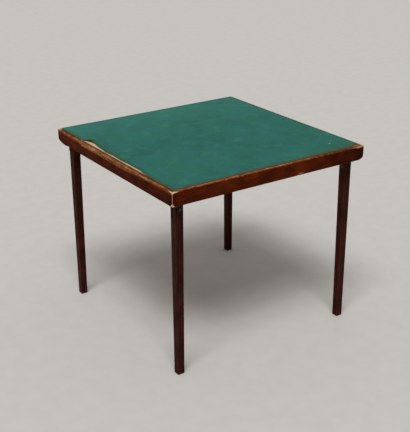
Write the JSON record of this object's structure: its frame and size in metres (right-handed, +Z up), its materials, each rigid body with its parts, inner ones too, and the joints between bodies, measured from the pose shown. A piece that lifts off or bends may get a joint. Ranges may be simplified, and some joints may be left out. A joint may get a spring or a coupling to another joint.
{
  "type": "folding card table",
  "caption": "Square folding card table: green baize on a panel in a mitred wooden frame, with tapered square legs that fold flat inside it, held by toggle stays.",
  "frame": {"origin": "on the floor, under the middle of the top, with the table open", "axes": "+Z up, -Y the front, +X the right; the top's sides lie along X and Y"},
  "size_m": [0.82, 0.82, 0.7],
  "materials": {
    "rail_wood": "red-brown stained and varnished beech, worn pale at the arrises",
    "leg_wood": "dark mahogany stain, satin varnish",
    "bare_softwood": "unfinished softwood, aged",
    "plywood": "unfinished birch plywood, aged",
    "baize_cloth": "wool baize, napped, matt",
    "leg_plate_steel": "blackened steel, dull",
    "bracket_steel": "blackened steel, dull",
    "stay_steel": "bare steel, tarnished",
    "bolt_steel": "bare steel, dull",
    "fastener_steel": "bare steel, tarnished"
  },
  "bodies": {
    "table_top": {"top_panel": "plywood", "baize": "baize_cloth", "panel_batten": "bare_softwood", "rail_front": "rail_wood", "rail_right": "rail_wood", "rail_back": "rail_wood", "rail_left": "rail_wood", "bearer_front": "bare_softwood", "bearer_right": "bare_softwood", "bearer_back": "bare_softwood", "bearer_left": "bare_softwood", "glue_block_front_left": "bare_softwood", "corner_bracket_front_left": "bracket_steel", "pivot_bolt_front_left": "fastener_steel", "glue_block_front_right": "bare_softwood", "corner_bracket_front_right": "bracket_steel", "pivot_bolt_front_right": "fastener_steel", "glue_block_back_right": "bare_softwood", "corner_bracket_back_right": "bracket_steel", "pivot_bolt_back_right": "fastener_steel", "glue_block_back_left": "bare_softwood", "corner_bracket_back_left": "bracket_steel", "pivot_bolt_back_left": "fastener_steel", "bracket_screws": "fastener_steel", "pivot_spacers": "fastener_steel", "pivot_nuts": "fastener_steel", "stay_studs": "fastener_steel"},
    "leg_front_left": {"leg_front_left": "leg_wood", "leg_plate_outer_front_left": "leg_plate_steel", "leg_plate_inner_front_left": "leg_plate_steel", "cross_bolt_front_left": "bolt_steel"},
    "stay_lower_front_left": {"stay_lower_front_left": "stay_steel"},
    "stay_upper_front_left": {"stay_upper_front_left": "stay_steel", "knuckle_rivet_front_left": "fastener_steel"},
    "leg_front_right": {"leg_front_right": "leg_wood", "leg_plate_outer_front_right": "leg_plate_steel", "leg_plate_inner_front_right": "leg_plate_steel", "cross_bolt_front_right": "bolt_steel"},
    "stay_lower_front_right": {"stay_lower_front_right": "stay_steel"},
    "stay_upper_front_right": {"stay_upper_front_right": "stay_steel", "knuckle_rivet_front_right": "fastener_steel"},
    "leg_back_right": {"leg_back_right": "leg_wood", "leg_plate_outer_back_right": "leg_plate_steel", "leg_plate_inner_back_right": "leg_plate_steel", "cross_bolt_back_right": "bolt_steel"},
    "stay_lower_back_right": {"stay_lower_back_right": "stay_steel"},
    "stay_upper_back_right": {"stay_upper_back_right": "stay_steel", "knuckle_rivet_back_right": "fastener_steel"},
    "leg_back_left": {"leg_back_left": "leg_wood", "leg_plate_outer_back_left": "leg_plate_steel", "leg_plate_inner_back_left": "leg_plate_steel", "cross_bolt_back_left": "bolt_steel"},
    "stay_lower_back_left": {"stay_lower_back_left": "stay_steel"},
    "stay_upper_back_left": {"stay_upper_back_left": "stay_steel", "knuckle_rivet_back_left": "fastener_steel"}
  },
  "joints": [
    {"name": "leg_fold_front_left", "type": "hinge", "parent": "table_top", "child": "leg_front_left", "pos_m": [-0.36475, -0.36475, 0.67], "axis": [0, -1, 0], "range_deg": [0, 90]},
    {"name": "stay_lower_turn_front_left", "type": "hinge", "parent": "leg_front_left", "child": "stay_lower_front_left", "pos_m": [-0.36475, -0.3464, 0.619], "axis": [0, -1, 0], "range_deg": [0, 65.14]},
    {"name": "stay_upper_turn_front_left", "type": "hinge", "parent": "table_top", "child": "stay_upper_front_left", "pos_m": [-0.25475, -0.3432, 0.67], "axis": [0, -1, 0], "range_deg": [-24.88, 0]},
    {"name": "leg_fold_front_right", "type": "hinge", "parent": "table_top", "child": "leg_front_right", "pos_m": [0.36475, -0.36475, 0.67], "axis": [1, 0, 0], "range_deg": [0, 90]},
    {"name": "stay_lower_turn_front_right", "type": "hinge", "parent": "leg_front_right", "child": "stay_lower_front_right", "pos_m": [0.3464, -0.36475, 0.619], "axis": [1, 0, 0], "range_deg": [0, 65.14]},
    {"name": "stay_upper_turn_front_right", "type": "hinge", "parent": "table_top", "child": "stay_upper_front_right", "pos_m": [0.3432, -0.25475, 0.67], "axis": [1, 0, 0], "range_deg": [-24.88, 0]},
    {"name": "leg_fold_back_right", "type": "hinge", "parent": "table_top", "child": "leg_back_right", "pos_m": [0.36475, 0.36475, 0.67], "axis": [0, 1, 0], "range_deg": [0, 90]},
    {"name": "stay_lower_turn_back_right", "type": "hinge", "parent": "leg_back_right", "child": "stay_lower_back_right", "pos_m": [0.36475, 0.3464, 0.619], "axis": [0, 1, 0], "range_deg": [0, 65.14]},
    {"name": "stay_upper_turn_back_right", "type": "hinge", "parent": "table_top", "child": "stay_upper_back_right", "pos_m": [0.25475, 0.3432, 0.67], "axis": [0, 1, 0], "range_deg": [-24.88, 0]},
    {"name": "leg_fold_back_left", "type": "hinge", "parent": "table_top", "child": "leg_back_left", "pos_m": [-0.36475, 0.36475, 0.67], "axis": [-1, 0, 0], "range_deg": [0, 90]},
    {"name": "stay_lower_turn_back_left", "type": "hinge", "parent": "leg_back_left", "child": "stay_lower_back_left", "pos_m": [-0.3464, 0.36475, 0.619], "axis": [-1, 0, 0], "range_deg": [0, 65.14]},
    {"name": "stay_upper_turn_back_left", "type": "hinge", "parent": "table_top", "child": "stay_upper_back_left", "pos_m": [-0.3432, 0.25475, 0.67], "axis": [-1, 0, 0], "range_deg": [-24.88, 0]}
  ],
  "couplings": [
    {"joint": "stay_lower_turn_front_left", "follows": "leg_fold_front_left", "ratio": 0.72362},
    {"joint": "stay_upper_turn_front_left", "follows": "leg_fold_front_left", "ratio": -0.27638},
    {"joint": "stay_lower_turn_front_right", "follows": "leg_fold_front_right", "ratio": 0.72362},
    {"joint": "stay_upper_turn_front_right", "follows": "leg_fold_front_right", "ratio": -0.27638},
    {"joint": "stay_lower_turn_back_right", "follows": "leg_fold_back_right", "ratio": 0.72362},
    {"joint": "stay_upper_turn_back_right", "follows": "leg_fold_back_right", "ratio": -0.27638},
    {"joint": "stay_lower_turn_back_left", "follows": "leg_fold_back_left", "ratio": 0.72362},
    {"joint": "stay_upper_turn_back_left", "follows": "leg_fold_back_left", "ratio": -0.27638}
  ]
}
